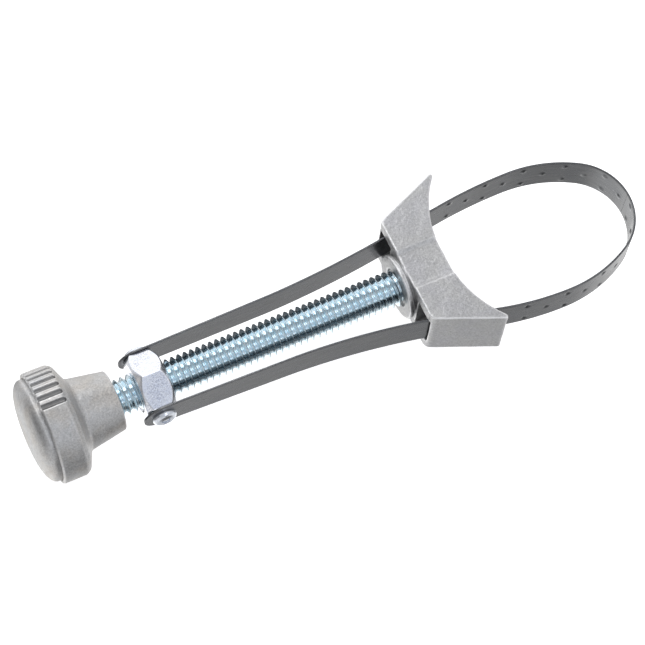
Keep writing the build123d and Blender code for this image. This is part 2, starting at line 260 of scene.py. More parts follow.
def grey(value):
    """A grey as the four numbers that a colour socket takes."""
    return (value, value, value, 1)


def noise_node(tree, where, per_mm, detail=3, rough=0.5, distortion=0.0):
    """Noise over coordinates in metres, with its scale given in repeats per millimetre."""
    return add_node(tree, "ShaderNodeTexNoise", {
        "Vector": where, "Scale": per_mm / MM, "Detail": detail, "Roughness": rough,
        "Distortion": distortion}).outputs["Fac"]


def ramp(tree, factor, stops):
    """Colour ramp from (position, colour) stops."""
    made = add_node(tree, "ShaderNodeValToRGB", {"Fac": factor})
    elements = made.color_ramp.elements
    while len(elements) < len(stops):
        elements.new(0.5)
    for element, (position, colour) in zip(elements, stops):
        element.position = position
        element.color = colour
    return made.outputs["Color"]


def spread(tree, value, low, high, to_low, to_high):
    """Value carried from one range to another, and held at its ends."""
    return add_node(tree, "ShaderNodeMapRange", {
        "Value": value, "From Min": low, "From Max": high, "To Min": to_low,
        "To Max": to_high}).outputs["Result"]


def mix(tree, factor, first, second, how="MIX", held=True):
    """Two colours mixed by a factor, held between 0 and 1 unless told otherwise."""
    made = tree.nodes.new("ShaderNodeMix")
    made.data_type = "RGBA"
    made.blend_type = how
    made.clamp_result = held
    for index, value in ((0, factor), (6, first), (7, second)):
        if isinstance(value, bpy.types.NodeSocket):
            tree.links.new(value, made.inputs[index])
        else:
            made.inputs[index].default_value = value
    return made.outputs[2]


def bumped(tree, height, distance_mm, strength=1.0, normal=None):
    """Bump of a height map, in millimetres, over another normal where one is given."""
    inputs = {"Height": height, "Distance": distance_mm * MM, "Strength": strength}
    if normal:
        inputs["Normal"] = normal
    return add_node(tree, "ShaderNodeBump", inputs).outputs["Normal"]


def new_material(name):
    """Empty node material: its tree and its output's surface socket."""
    material = bpy.data.materials.new(name)
    material.use_nodes = True
    tree = material.node_tree
    tree.nodes.clear()
    output = tree.nodes.new("ShaderNodeOutputMaterial")
    return material, tree, output.inputs["Surface"]


def cast_metal(name, dark, light, warm, grain_per_mm, rough, edge_highlight_strength):
    """Blasted die-cast skin: grainy, mottled warm and cool, with a painted highlight on its edges and
    painted shade in its corners.

    dark and light are the ends of its grey, and the last argument sets how bright the painted edge
    highlight is.
    """
    material, tree, surface = new_material(name)
    where = tree.nodes.new("ShaderNodeTexCoord").outputs["Object"]
    grain = noise_node(tree, where, grain_per_mm, detail=4, rough=0.7)
    pits = noise_node(tree, where, grain_per_mm * 0.5, detail=2, rough=0.5)
    cloud = noise_node(tree, where, 0.11, detail=3, rough=0.6, distortion=0.4)
    tone = noise_node(tree, where, 0.05, detail=2)
    speckle = ramp(tree, grain, [(0.3, grey(dark)), (0.72, grey(light))])
    tinted = mix(tree, ramp(tree, cloud, [(0.42, grey(0)), (0.66, grey(1))]), speckle,
                 mix(tree, 1.0, speckle, warm, "MULTIPLY"))
    shaded = mix(tree, ramp(tree, tone, [(0.3, grey(0.25)), (0.7, grey(0))]), tinted, grey(dark))
    edge = add_node(tree, "ShaderNodeAttribute", attribute_name="edge_bend").outputs["Fac"]
    # painted highlight: convex edges are brightened towards a pale grey
    painted_edge_highlight = spread(tree, edge, 0.005, 0.035, 0, edge_highlight_strength)
    # painted shade: concave corners and groove floors are darkened towards a dark grey
    corner = spread(tree, edge, -0.08, -0.015, 0.85, 0)
    edge_highlighted = mix(tree, painted_edge_highlight, shaded, grey(min(1, light * 1.5)))
    final = mix(tree, corner, edge_highlighted, grey(dark * 0.45))
    normal = bumped(tree, grain, 0.07, 1.0, bumped(tree, pits, 0.11, 0.8))
    shader = add_node(tree, "ShaderNodeBsdfPrincipled", {
        "Base Color": final, "Metallic": 0.82, "Normal": normal,
        "Roughness": spread(tree, pits, 0.35, 0.65, rough - 0.06, rough + 0.08)})
    tree.links.new(shader.outputs[0], surface)
    return material


def zinc_plate(name, base, violet, rough, cloud_amount, spots):
    """Bright zinc plating with a haze of a second colour and fine handling marks."""
    material, tree, surface = new_material(name)
    where = tree.nodes.new("ShaderNodeTexCoord").outputs["Object"]
    haze = noise_node(tree, where, 0.8, detail=5, rough=0.75)
    fine = noise_node(tree, where, 1.9, detail=3, rough=0.6)
    tint = ramp(tree, haze, [(0.4, grey(0)), (0.62, grey(cloud_amount))])
    colour = mix(tree, tint, base, violet)
    patch = ramp(tree, noise_node(tree, where, 0.1, detail=2), [(0.42, grey(0.15)), (0.6, grey(1))])
    marks = mix(tree, 1.0, ramp(tree, fine, [(0.38, grey(spots)), (0.56, grey(0))]), patch, "MULTIPLY")
    spotted = mix(tree, marks, colour,
                  (base[0] * 0.45, base[1] * 0.47, base[2] * 0.56, 1))
    normal = bumped(tree, fine, 0.02, 0.3, bumped(tree, haze, 0.03, 0.3))
    shader = add_node(tree, "ShaderNodeBsdfPrincipled", {
        "Base Color": spotted, "Metallic": 1.0, "Normal": normal,
        "Roughness": spread(tree, haze, 0.35, 0.65, rough, rough + 0.12)})
    tree.links.new(shader.outputs[0], surface)
    return material


def rolled_steel(name, base, streak, rough):
    """Dark rolled spring steel: fine streaks along the strip, oil bloom and small scuffs."""
    material, tree, surface = new_material(name)
    flat = add_node(tree, "ShaderNodeAttribute", attribute_name="strip_place").outputs["Vector"]
    stretched = add_node(tree, "ShaderNodeVectorMath", {0: flat, 1: (0.06, 1.0, 1.0)},
                         operation="MULTIPLY").outputs["Vector"]
    streaks = noise_node(tree, stretched, 1.9, detail=4, rough=0.7)
    bloom = noise_node(tree, flat, 0.09, detail=3, rough=0.6, distortion=0.6)
    scuff = noise_node(tree, flat, 0.8, detail=2)
    colour = ramp(tree, streaks, [(0.3, base), (0.7, streak)])
    oiled = mix(tree, ramp(tree, bloom, [(0.35, grey(0.35)), (0.65, grey(0))]), colour,
                (base[0] * 0.7, base[1] * 0.74, base[2] * 0.82, 1))
    marked = mix(tree, ramp(tree, scuff, [(0.7, grey(0)), (0.78, grey(0.5))]), oiled,
                 (streak[0] * 1.8, streak[1] * 1.8, streak[2] * 1.85, 1))
    normal = bumped(tree, streaks, 0.01, 0.4, bumped(tree, scuff, 0.03, 0.25))
    shader = add_node(tree, "ShaderNodeBsdfPrincipled", {
        "Base Color": marked, "Metallic": 0.9, "Normal": normal,
        "Roughness": spread(tree, bloom, 0.3, 0.7, rough, rough + 0.12)})
    tree.links.new(shader.outputs[0], surface)
    return material


# in each cast_metal material the last number is how bright its painted edge highlight is
CAST_BODY = cast_metal("cast_body", 0.36, 0.68, (0.97, 0.97, 1.0, 1), 1.5, 0.44, 0.8)
CAST_KNOB = cast_metal("cast_knob", 0.37, 0.67, (1.0, 0.955, 0.90, 1), 1.6, 0.42, 0.4)
ZINC_THREAD = zinc_plate("zinc_thread", (0.80, 0.88, 0.92, 1), (0.50, 0.72, 0.84, 1), 0.07, 0.7, 0.15)
ZINC_NUT = zinc_plate("zinc_nut", (0.95, 0.96, 0.98, 1), (0.70, 0.74, 0.84, 1), 0.13, 0.7, 0.75)
BAND_STEEL = rolled_steel("band_steel", (0.14, 0.143, 0.147, 1), (0.235, 0.237, 0.24, 1), 0.2)
ZINC_SCREW = zinc_plate("zinc_screw", (0.86, 0.88, 0.92, 1), (0.6, 0.68, 0.80, 1), 0.1, 0.5, 0.2)
CLIP_STEEL = cast_metal("clip_steel", 0.06, 0.12, (1.0, 0.97, 0.94, 1), 2.0, 0.42, 0.8)


def dress(piece, material):
    """Gives a piece its material."""
    piece.data.materials.clear()
    piece.data.materials.append(material)


# --- knob -----------------------------------------------------------------------
RIM_R = 21.1
RIM_FRONT = 5.9
RIM_BACK = 16.8
RIM_CHAMFER_X = 1.8
RIM_CHAMFER_R = 1.1
NECK_R = 16.4
HUB_LARGE_R = 13.75
HUB_SMALL_R = 11.2
BORE_R = 7.25
BORE_DEPTH = 3.6
DOME_R = 19.4
DOME_RISE = 4.75
DOME_POWER = 3.2
DOME_STEPS = 44
GROOVE_PITCH = math.radians(9.8)
GROOVES = 8
GROOVE_GROUPS = (math.radians(32), math.radians(212))
GROOVE_R = 1.1
GROOVE_CENTRE_R = RIM_R + 0.1
GROOVE_SOFT = 0.1
GROOVE_END = 0.9
# how much painted shade the floors of the grooves get
GROOVE_PAINTED_SHADE = 0.08
GROOVE_STEPS = 15
PLAIN_STEPS = 64
KNOB_STEP = 0.28
# unevenness of a surface, as (depth, grain) layers
KNOB_SKIN = ((0.05, 3.2), (0.03, 0.9))


def knob_profile(front, end):
    """Dome, stepped rim, concave neck, conical hub and its bore, from the axis back to the axis."""
    rim_front = front + RIM_FRONT
    rim_back = front + RIM_BACK
    swing = np.sin(np.linspace(0, TAU / 4, DOME_STEPS))
    dome = [(front + DOME_RISE * (1 - math.sqrt(max(0, 1 - part**DOME_POWER))), DOME_R * part)
            for part in swing]
    rest = rounded([
        dome[-1], (rim_front + 0.1, 19.25, 0.2), (rim_front + 0.5, 19.4, 0.1),
        (rim_front + 0.1, 19.75, 0.1), (rim_front, 20.3, 0.2),
        (rim_front + 0.45, RIM_R, 0.45), (rim_back - RIM_CHAMFER_X, RIM_R, 0.6),
        (rim_back, RIM_R - RIM_CHAMFER_R, 0.55), (rim_back + 1.6, NECK_R, 0.5),
        (rim_back + 2.9, HUB_LARGE_R, 1.0), (end - 0.1, HUB_SMALL_R, 0.6),
        (end, BORE_R + 0.35, 0.25), (end - 0.8, BORE_R, 0.2), (end - BORE_DEPTH, BORE_R, 0.2),
        (end - BORE_DEPTH, 0)])
    return dome[:-1] + spaced(rest, KNOB_STEP)


def groove_angles():
    """Angles round the knob: close together across the grooves, wider between the groups."""
    half_group = GROOVES * GROOVE_PITCH / 2
    angles = []
    for start, group in enumerate(GROOVE_GROUPS):
        following = GROOVE_GROUPS[(start + 1) % 2] + (TAU if start else 0)
        grooved = (group - half_group, group + half_group)
        plain = (group + half_group, following - half_group)
        angles += list(np.linspace(*grooved, GROOVES * GROOVE_STEPS, endpoint=False))
        angles += list(np.linspace(*plain, PLAIN_STEPS, endpoint=False))
    return angles


def make_knob():
    """Grooved die-cast knob."""
    low, high = box_mm("knob")
    groove_back = low.x + RIM_BACK - GROOVE_END - GROOVE_R

    def grooved(x, radius, angle):
        """Radius with the grooves cut in: straight bars, each with a ball at its back end."""
        result = radius
        for group in GROOVE_GROUPS:
            for index in range(GROOVES):
                centre = group + (index - (GROOVES - 1) / 2) * GROOVE_PITCH
                aside = GROOVE_CENTRE_R * np.sin(angle - centre)
                behind = np.maximum(x - groove_back, 0)
                left = GROOVE_R**2 - aside**2 - behind**2
                floor = GROOVE_CENTRE_R - np.sqrt(np.maximum(left, 0))
                open_here = (np.cos(angle - centre) > 0.9) & (radius > RIM_R - 1.3)
                gap = np.where(open_here & (left > 0), floor - result, RIM_R)
                soft = np.clip(0.5 - gap / (2 * GROOVE_SOFT), 0, 1)
                blended = result + np.minimum(gap, 0) * soft - GROOVE_SOFT * soft * (1 - soft)
                result = np.where(gap < GROOVE_SOFT, np.minimum(blended, result), result)
        return result

    piece = lathe("knob_casting", knob_profile(low.x, high.x), groove_angles(), grooved)
    roughen(piece, KNOB_SKIN)
    # painted shade: points down in the rim's grooves are stored as corners, so the groove floors are
    # darkened
    x, y, z = np.array([vertex.co for vertex in piece.data.vertices]).T / MM
    depth = np.clip((RIM_R - 0.2 - np.hypot(y - axis_y, z)) / 0.5, 0, 1)
    on_rim = (x > low.x + RIM_FRONT + 0.5) & (x < groove_back + GROOVE_R)
    mark_edges(piece, np.where(on_rim, GROOVE_PAINTED_SHADE * depth, 0.0))
    dress(piece, CAST_KNOB)
    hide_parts("knob")
    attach(piece, "spindle")


make_knob()

# --- spindle --------------------------------------------------------------------
PITCH = 2.5
TURN_STEPS = 72
CREST_R = 6.98
ROOT_R = 5.5
CORE_R = 5.6
JOURNAL_R = 5.1
CLIP_GROOVE_R = 4.6
THREAD_INTO_BOSS = 0.6
THREAD_INTO_KNOB = 3.7
THREAD_SMOOTH_ANGLE = math.radians(60)
RUNOUT = 0.6 * PITCH


def thread_profile():
    """One pitch of rolled thread as (share of a pitch, radius), rounded at crest and root."""
    shares = (0.0, 0.035, 0.065, 0.10, 0.20, 0.30, 0.385, 0.43, 0.465, 0.5)
    heights = (1.0, 0.985, 0.93, 0.85, 0.58, 0.31, 0.09, 0.03, 0.005, 0.0)
    half = [(share, ROOT_R + (CREST_R - ROOT_R) * height) for share, height in zip(shares, heights)]
    return half + [(1 - share, radius) for share, radius in reversed(half[1:-1])]


def make_spindle():
    """Rolled screw from the knob's bore to the boss, with a plain journal and nose beyond."""
    start = box_mm("knob")[1].x - THREAD_INTO_KNOB
    end = box_mm("cradle")[0].x + THREAD_INTO_BOSS
    profile = thread_profile()
    turns = math.ceil((end - start) / PITCH) + 2
    share = np.array([turn - 1 + part for turn in range(turns) for part, _ in profile])
    radius = np.array([part_r for _ in range(turns) for _, part_r in profile])
    angle = np.arange(TURN_STEPS) * TAU / TURN_STEPS
    x = start + PITCH * (share[:, None] + angle[None, :] / TAU)
    fade = np.clip(np.minimum(end - x, x - start) / RUNOUT, 0, 1)**0.5
    r = CORE_R + (radius[:, None] - CORE_R) * fade
    points = np.stack([np.clip(x, start, end), axis_y + r * np.sin(angle), -r * np.cos(angle)], -1)
    faces = grid_faces(len(share), TURN_STEPS, wrap_columns=True, shift=len(profile))
    thread = make_object("spindle_thread", points, faces, THREAD_SMOOTH_ANGLE)

    nose_end = box_mm("spindle")[1].x
    clip_low, clip_high = box_mm("circlip")
    nose = rounded([
        (end - 0.5, 0), (end - 0.5, CORE_R - 0.1), (end + 0.2, CORE_R - 0.1, 0.1),
        (end + 0.2, JOURNAL_R, 0.1), (clip_low.x, JOURNAL_R, 0.06), (clip_low.x, CLIP_GROOVE_R, 0.06),
        (clip_high.x, CLIP_GROOVE_R, 0.06), (clip_high.x, JOURNAL_R, 0.06),
        (nose_end - 0.6, JOURNAL_R, 0.15), (nose_end, JOURNAL_R - 0.6, 0.15), (nose_end, 0)])
    journal = lathe("spindle_journal", spaced(nose, 0.8), np.arange(96) * TAU / 96)
    for piece in (thread, journal):
        dress(piece, ZINC_THREAD)
        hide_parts("spindle")
        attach(piece, "spindle")


make_spindle()

# --- nut ------------------------------------------------------------------------
# the nut sits a few degrees round from square, and the band's legs untwist towards the cradle
NUT_TWIST = math.radians(3)
UNTWIST_POWER = 1.8
untwist_from = joints["band_p_bend_1"]["pos_m"][0] / MM
untwist_to = box_mm("cradle")[0].x
NUT_FLAT_R = 11.5
NUT_FACE_R = 10.9
NUT_CHAMFER_X = 2.4
NUT_EDGE = 0.3
NUT_CORNER = 0.35
NUT_BORE_R = CREST_R + 0.24
NUT_COUNTERSINK = 0.9
NUT_SKIN = ((0.012, 2.6),)
nut_low, nut_high = box_mm("nut")
nut_x = (nut_low.x + nut_high.x) / 2


def soft_min(first, second, reach):
    """The lesser of two, blended where they are closer together than reach."""
    close = np.clip(1 - np.abs(first - second) / reach, 0, 1)
    return np.minimum(first, second) - reach * close**2 / 4


def twisted(points):
    """Points turned about the spindle: fully at the nut, and less and less up to the cradle."""
    x, y, z = points[..., 0], points[..., 1] - axis_y, points[..., 2]
    share = np.clip((untwist_to - x) / (untwist_to - untwist_from), 0, 1)
    turn = NUT_TWIST * share**UNTWIST_POWER
    return np.stack([x, axis_y + y * np.cos(turn) - z * np.sin(turn),
                     y * np.sin(turn) + z * np.cos(turn)], -1)


def make_nut():
    """Hexagonal nut with turned chamfers, soft edges and a countersunk bore."""
    corner_r = nut_high.z
    low, high = nut_low.x, nut_high.x
    half = [(low + NUT_COUNTERSINK, NUT_BORE_R), (low, NUT_BORE_R + NUT_COUNTERSINK, 0.2),
            (low, NUT_FACE_R, NUT_EDGE), (low + NUT_CHAMFER_X, corner_r + 0.1, NUT_EDGE)]
    other = [(low + high - x, radius, *cut) for x, radius, *cut in reversed(half)]
    line = rounded(half + other)
    line = spaced(line + [line[0]], 0.3)
    angles = np.arange(360) * TAU / 360

    def hexagonal(_, radius, angle):
        """Radius held within six flats, with the corners between them softened."""
        sixth = TAU / 6
        near = (angle + NUT_TWIST) % sixth - sixth / 2
        beside = sixth - np.abs(near)
        flats = soft_min(NUT_FLAT_R / np.cos(near), NUT_FLAT_R / np.cos(beside), NUT_CORNER)
        return soft_min(radius, flats, NUT_EDGE)

    piece = lathe("nut_body", line, angles, hexagonal)
    roughen(piece, NUT_SKIN)
    dress(piece, ZINC_NUT)
    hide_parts("nut")
    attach(piece, "nut")


make_nut()

# --- screws ---------------------------------------------------------------------
HEAD_R = 4.6
HEAD_H = 2.7
SHANK_R = 2.45
RECESS_TURN = math.radians(35)
RECESS_LONG = 2.45
RECESS_HALF = 0.5
RECESS_DEPTH = 1.7
RECESS_END = 3.0
SCREW_SMOOTH_ANGLE = math.radians(50)
SCREW_SKIN = ((0.015, 1.2),)


def head_height(radius):
    """Height of a pan head's surface over its seat, by distance from its middle."""
    return np.interp(radius, (0, 1.6, 2.4, 3.1, 3.7, 4.15, 4.45, HEAD_R),
                     (HEAD_H, 2.68, 2.6, 2.42, 2.1, 1.7, 1.3, 0.85))


def recess(across, along):
    """Depth of a cross recess at a place on the head: two tapering slots with sloping ends."""
    depth = np.zeros_like(across)
    for u, v in ((across, along), (along, across)):
        width = RECESS_HALF + 0.25 * np.clip(1 - np.abs(v) / 1.1, 0, 1)
        side = np.clip((width - np.abs(u)) / 0.12 + 0.5, 0, 1)
        floor = np.clip((RECESS_LONG - np.abs(v)) / 0.9, 0, 1)
        depth = np.maximum(depth, RECESS_DEPTH * side * floor)
    return depth


def make_screw(key, side):
    """Pan-head screw with a cross recess and a plain shank into the nut."""
    name = f"screw_{key}"
    low, high = box_mm(name)
    seat = side * ((high.y if side > 0 else -low.y) - HEAD_H)
    tip = low.y if side > 0 else high.y
    angle = np.arange(144) * TAU / 144
    rings = np.append(np.linspace(0.02, RECESS_END, 34), np.linspace(RECESS_END + 0.1, HEAD_R, 18))
    radius = np.repeat(rings[:, None], len(angle), 1)
    turned = angle - RECESS_TURN
    height = head_height(radius) - recess(radius * np.cos(turned), radius * np.sin(turned))
    wall = [(HEAD_R, 0.5), (HEAD_R, 0.12), (HEAD_R - 0.12, 0.0), (SHANK_R, 0.0),
            (SHANK_R, side * (tip - seat) + 0.4), (SHANK_R - 0.4, side * (tip - seat))]
    for wall_r, wall_h in wall:
        radius = np.vstack([radius, np.full(len(angle), wall_r)])
        height = np.vstack([height, np.full(len(angle), wall_h)])
    points = np.stack([nut_x + radius * np.cos(angle), seat + side * height,
                       -radius * np.sin(angle)], -1)
    piece = make_object(f"{name}_head", twisted(points),
                        grid_faces(len(radius), len(angle), wrap_columns=True), SCREW_SMOOTH_ANGLE)
    roughen(piece, SCREW_SKIN)
    dress(piece, ZINC_SCREW)
    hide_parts(name)
    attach(piece, "nut")


make_screw("p", 1)
make_screw("n", -1)

# --- band -----------------------------------------------------------------------
BAND_T = 0.8
BAND_W = 15.0
BAND_EDGE = 0.2
# the line of each half: two arcs, then bends as (length, heading in degrees at the far end)
APEX_R = 21.7
APEX_TURN = math.radians(60)
SHOULDER_R = 54.0
SHOULDER_TURN = math.radians(30)
LEG_BENDS = {"p": ((29.0, 8.5), (26.0, 8.5), (48.0, 2.0)),
             "n": ((29.0, 14.5), (28.0, 11.5), (48.0, 2.5))}
LINE_STEP = 0.02
FLAT_BEYOND = 16.0
# how far past each hinge, towards the nut, the strip is cut
LOOP_FOLD = 2.6
LEG_FOLD = 5.0
NUT_FOLD = 0.5
LOOP_REACH = 81.0
# mesh spacing in the loop, which has dimples, and in the legs
LOOP_STEP = 0.3
LEG_STEP = 0.6
TAB_STEP = 0.4
TAB_ACROSS_STEP = 0.5
TAB_RIM_STEPS = 28
TAB_RIM_END = 0.9995
APEX_HALF_GAP = 0.03
DIMPLE_PITCH = 8.0
DIMPLES = 10
DIMPLE_Z = 4.9
DIMPLE_R = 1.5
DIMPLE_DEPTH = 0.4
ODD_DIMPLE = 96.0


class HalfBand:
    """Centre line of half the band, by distance from the loop's far end back to the nut."""

    def __init__(self, key):
        self.key = key
        self.side = 1 if key == "p" else -1
        nut_end = Vector(joints[f"band_{key}_bend_1"]["pos_m"]) / MM
        knots = [0, APEX_R * APEX_TURN, APEX_R * APEX_TURN + SHOULDER_R * SHOULDER_TURN]
        headings = [-TAU / 4, APEX_TURN - TAU / 4, 0]
        for length, heading in LEG_BENDS[key]:
            knots.append(knots[-1] + length)
            headings.append(math.radians(heading))
        reach = np.arange(0, knots[-1], LINE_STEP)
        heading = np.interp(reach, knots, headings)
        x = APEX_R - np.cumsum(np.cos(heading)) * LINE_STEP
        y = -self.side * np.cumsum(np.sin(heading)) * LINE_STEP
        gap = math.dist((x[-1], y[-1]), nut_end[:2])
        slope = math.atan2(-self.side * (nut_end.y - y[-1]), x[-1] - nut_end.x)
        self.length = reach[-1] + gap
        straight = np.arange(0, gap, LINE_STEP)
        flat = np.arange(0, FLAT_BEYOND, LINE_STEP)
        self.reach = np.concatenate([reach, reach[-1] + straight, self.length + flat])
        self.heading = np.concatenate([heading, np.full(len(straight), slope), np.zeros(len(flat))])
        self.x = np.concatenate([x, x[-1] - straight * math.cos(slope), nut_end.x - flat])
        self.y = np.concatenate([y, y[-1] - self.side * straight * math.sin(slope),
                                 np.full(len(flat), nut_end.y)])

    def at(self, distance):
        """x, y and the outward normal at a distance from the loop's far end."""
        heading = np.interp(distance, self.reach, self.heading)
        x, y = np.interp(distance, self.reach, self.x), np.interp(distance, self.reach, self.y)
        return x, y, -np.sin(heading), self.side * np.cos(heading)

    def nearest(self, place):
        """Distance from the loop's far end of the point of the line nearest to a joint."""
        x, y = place[0] / MM, place[1] / MM
        return float(self.reach[np.argmin(np.hypot(self.x - x, self.y - y))])


def dimple_depth(half_band, distance, z):
    """How far the strip is pressed inwards at a place, over all its dimples."""
    places = []
    for index in range(DIMPLES):
        single = (index % 2 == 0) == (half_band.side > 0)
        for across in ((0,) if single else (-DIMPLE_Z, DIMPLE_Z)):
            places.append(((index + 0.5) * DIMPLE_PITCH, across))
    if half_band.side < 0:
        places.append((ODD_DIMPLE, 0))
    depth = np.zeros(np.broadcast(distance, z).shape)
    for along, across in places:
        away = np.clip(np.hypot(distance - along, z - across) / DIMPLE_R, 0, 1)
        depth += DIMPLE_DEPTH * (1 - away**2)**2
    return depth


def strip_section(half_width, across_step):
    """Outline of the strip's section as (z, offset), with rounded edges, once round."""
    flat = half_width - BAND_EDGE
    count = max(2, math.ceil(2 * flat / across_step))
    top = [(flat - 2 * flat * i / count, BAND_T / 2) for i in range(count + 1)]
    corner = [math.radians(a) for a in (30, 60, 90)]
    turn = [(-flat - BAND_EDGE * math.sin(a), BAND_T / 2 - BAND_EDGE * (1 - math.cos(a)))
            for a in corner]
    line = top + turn + [(z, -offset) for z, offset in reversed(turn)]
    line += [(-z, -offset) for z, offset in top]
    return np.array(line + [(-z, -offset) for z, offset in turn]
                    + [(-z, offset) for z, offset in reversed(turn)])


def make_strip(name, half_band, distances, widths, across_step):
    """Length of the band between two distances, closed, with its dimples pressed in."""
    section = strip_section(BAND_W / 2, across_step)
    x, y, out_x, out_y = [value[:, None] for value in half_band.at(distances)]
    share = (widths / (BAND_W / 2))[:, None]
    z = section[None, :, 0] * share
    along = np.repeat(distances[:, None], len(section), 1)
    offset = section[None, :, 1] - dimple_depth(half_band, along, z)
    points = twisted(np.stack([x + out_x * offset, y + out_y * offset, z + 0 * offset], -1))
    faces = grid_faces(len(distances), len(section), wrap_columns=True)
    last = (len(distances) - 1) * len(section)
    for start, end in ((0, len(section)), (last, last + len(section))):
        faces.append(tuple(range(start, end)))
    mesh = bpy.data.meshes.new(name)
    mesh.from_pydata((points.reshape(-1, 3) * MM).tolist(), [], faces)
    place = np.stack([along, z, section[None, :, 1] + 0 * z], -1) * MM
    attribute = mesh.attributes.new("strip_place", "FLOAT_VECTOR", "POINT")
    attribute.data.foreach_set("vector", place.astype(np.float32).ravel())
    piece = finished_object(name, mesh)
    dress(piece, BAND_STEEL)
    return piece


def spread_out(start, end, step):
    """Even distances from start to end, no further apart than step."""
    return np.linspace(start, end, max(2, math.ceil(abs(end - start) / step) + 1))


def make_half_band(key):
    """Tab, leg and loop half: one strip along a smooth line, cut a little past each hinge, towards the
    nut.
    """
    half_band = HalfBand(key)
    bends = sorted((name for name in joints if name.startswith(f"band_{key}_bend_")),
                   key=lambda name: int(name.rsplit("_", 1)[1]))
    hinges = [half_band.nearest(joints[name]["pos_m"]) for name in bends]
    folds = [NUT_FOLD] + [LEG_FOLD if at > LOOP_REACH else LOOP_FOLD for at in hinges[1:]]
    for index, (name, at, fold) in enumerate(zip(bends, hinges, folds)):
        last = index == len(bends) - 1
        far = APEX_HALF_GAP if last else hinges[index + 1] + folds[index + 1]
        in_loop = min(at + fold, LOOP_REACH)
        runs = [spread_out(far, in_loop, LOOP_STEP)] if far < LOOP_REACH else []
        if at + fold > LOOP_REACH:
            in_leg = spread_out(max(far, LOOP_REACH), at + fold, LEG_STEP)
            runs.append(in_leg[1:] if runs else in_leg)
        distances = np.concatenate(runs)
        piece = make_strip(f"band_{key}_strip{index + 1}", half_band, distances,
                           np.full(len(distances), BAND_W / 2), LOOP_STEP)
        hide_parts(f"band_{key}{index + 1}")
        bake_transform(piece)

    middle = half_band.length + half_band.at(half_band.length)[0] - nut_x
    rim = middle + BAND_W / 2 * np.sin(np.linspace(0, TAU / 4, TAB_RIM_STEPS)[:-1])
    straight = spread_out(half_band.length + NUT_FOLD, middle, TAB_STEP)[:-1]
    distances = np.concatenate([straight, rim, [middle + BAND_W / 2 * TAB_RIM_END]])
    beyond = np.clip((distances - middle) / (BAND_W / 2), 0, 1)
    tab = make_strip(f"band_{key}_tab", half_band, distances,
                     BAND_W / 2 * np.sqrt(1 - beyond**2), TAB_ACROSS_STEP)
    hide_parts(f"band_tab_{key}")
    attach(tab, "nut")


make_half_band("p")
make_half_band("n")

# --- cradle ---------------------------------------------------------------------
CRADLE_VOXEL_MM = 0.34
CRADLE_SMOOTHING = 5
CRADLE_SKIN = ((0.09, 5.0), (0.04, 1.3))


def make_cradle():
    """Die-cast cradle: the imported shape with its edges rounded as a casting's are."""
    source = frame["nodes"]["cradle"]
    piece = bpy.data.objects.new("cradle_casting", source.data.copy())
    piece.matrix_world = source.matrix_world.copy()
    bpy.context.scene.collection.objects.link(piece)
    remesh = piece.modifiers.new("even", "REMESH")
    remesh.mode = "VOXEL"
    remesh.voxel_size = CRADLE_VOXEL_MM * MM
    remesh.use_smooth_shade = True
    smooth = piece.modifiers.new("smooth", "SMOOTH")
    smooth.factor = 0.5
    smooth.iterations = CRADLE_SMOOTHING
    bpy.context.view_layer.update()
    shaped = piece.evaluated_get(bpy.context.evaluated_depsgraph_get())
    mesh = bpy.data.meshes.new_from_object(shaped)
    piece.modifiers.clear()
    piece.data = mesh
    mesh.polygons.foreach_set("use_smooth", [True] * len(mesh.polygons))
    roughen(piece, CRADLE_SKIN)
    mark_edges(piece)
    dress(piece, CAST_BODY)
    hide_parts("cradle")
    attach(piece, "cradle")


make_cradle()


def finish_cad_node(node, material):
    """Keeps a CAD node's shape, with a finished material."""
    kept = frame["nodes"][node]
    kept.data.materials.clear()
    kept.data.materials.append(material)


finish_cad_node("circlip", CLIP_STEEL)
finish_cad_node("thrust_washer", ZINC_THREAD)

# --- floor, surroundings and lights ---------------------------------------------
FLOOR_HALF_M = 3.0
FLOOR_GAP_M = 0.0002
FLOOR_GLOW = 0.7


def make_floor():
    """Plain pale floor just under the tool, left out of its reflections."""
    level = cad_low.z - FLOOR_GAP_M
    mesh = bpy.data.meshes.new("floor")
    corners = [(x, y, level) for x, y in ((-1, -1), (1, -1), (1, 1), (-1, 1))]
    mesh.from_pydata([(x * FLOOR_HALF_M, y * FLOOR_HALF_M, z) for x, y, z in corners],
                     [], [(0, 1, 2, 3)])
    floor = bpy.data.objects.new("floor", mesh)
    bpy.context.scene.collection.objects.link(floor)
    material, tree, surface = new_material("floor_paper")
    where = tree.nodes.new("ShaderNodeTexCoord").outputs["Object"]
    fibre = noise_node(tree, where, 0.4, detail=3)
    shader = add_node(tree, "ShaderNodeBsdfPrincipled", {
        "Base Color": ramp(tree, fibre, [(0.3, grey(0.93)), (0.7, grey(0.97))]), "Roughness": 0.9,
        "Emission Color": grey(1.0), "Emission Strength": FLOOR_GLOW})
    tree.links.new(shader.outputs[0], surface)
    mesh.materials.append(material)
    floor.visible_glossy = False


# soft boxes round the tool: (direction, half angle of the core, half angle of the fade, colour)
SOFT_BOXES = (
    ((0.23, 0.96, 0.15), 18, 44, (0.58, 0.58, 0.58)),
    ((0.23, 0.66, 0.70), 9, 22, (0.25, 0.25, 0.26)),
    ((0.23, -0.36, 0.91), 6, 14, (1.5, 1.5, 1.5)),
    ((0.22, -0.86, 0.46), 4, 12, (1.4, 1.4, 1.4)),
    ((0.2, -0.64, 0.74), 10, 32, (0.08, 0.11, 0.17)),
    ((0.62, -0.3, 0.72), 10, 32, (0.25, 0.245, 0.24)),
    ((0.0, 0.32, -0.94), 12, 28, (0.50, 0.50, 0.49)),
    ((0.52, 0.1, -0.85), 12, 28, (0.33, 0.32, 0.31)),
    ((-0.48, 0.05, -0.87), 12, 30, (0.40, 0.40, 0.39)),
)
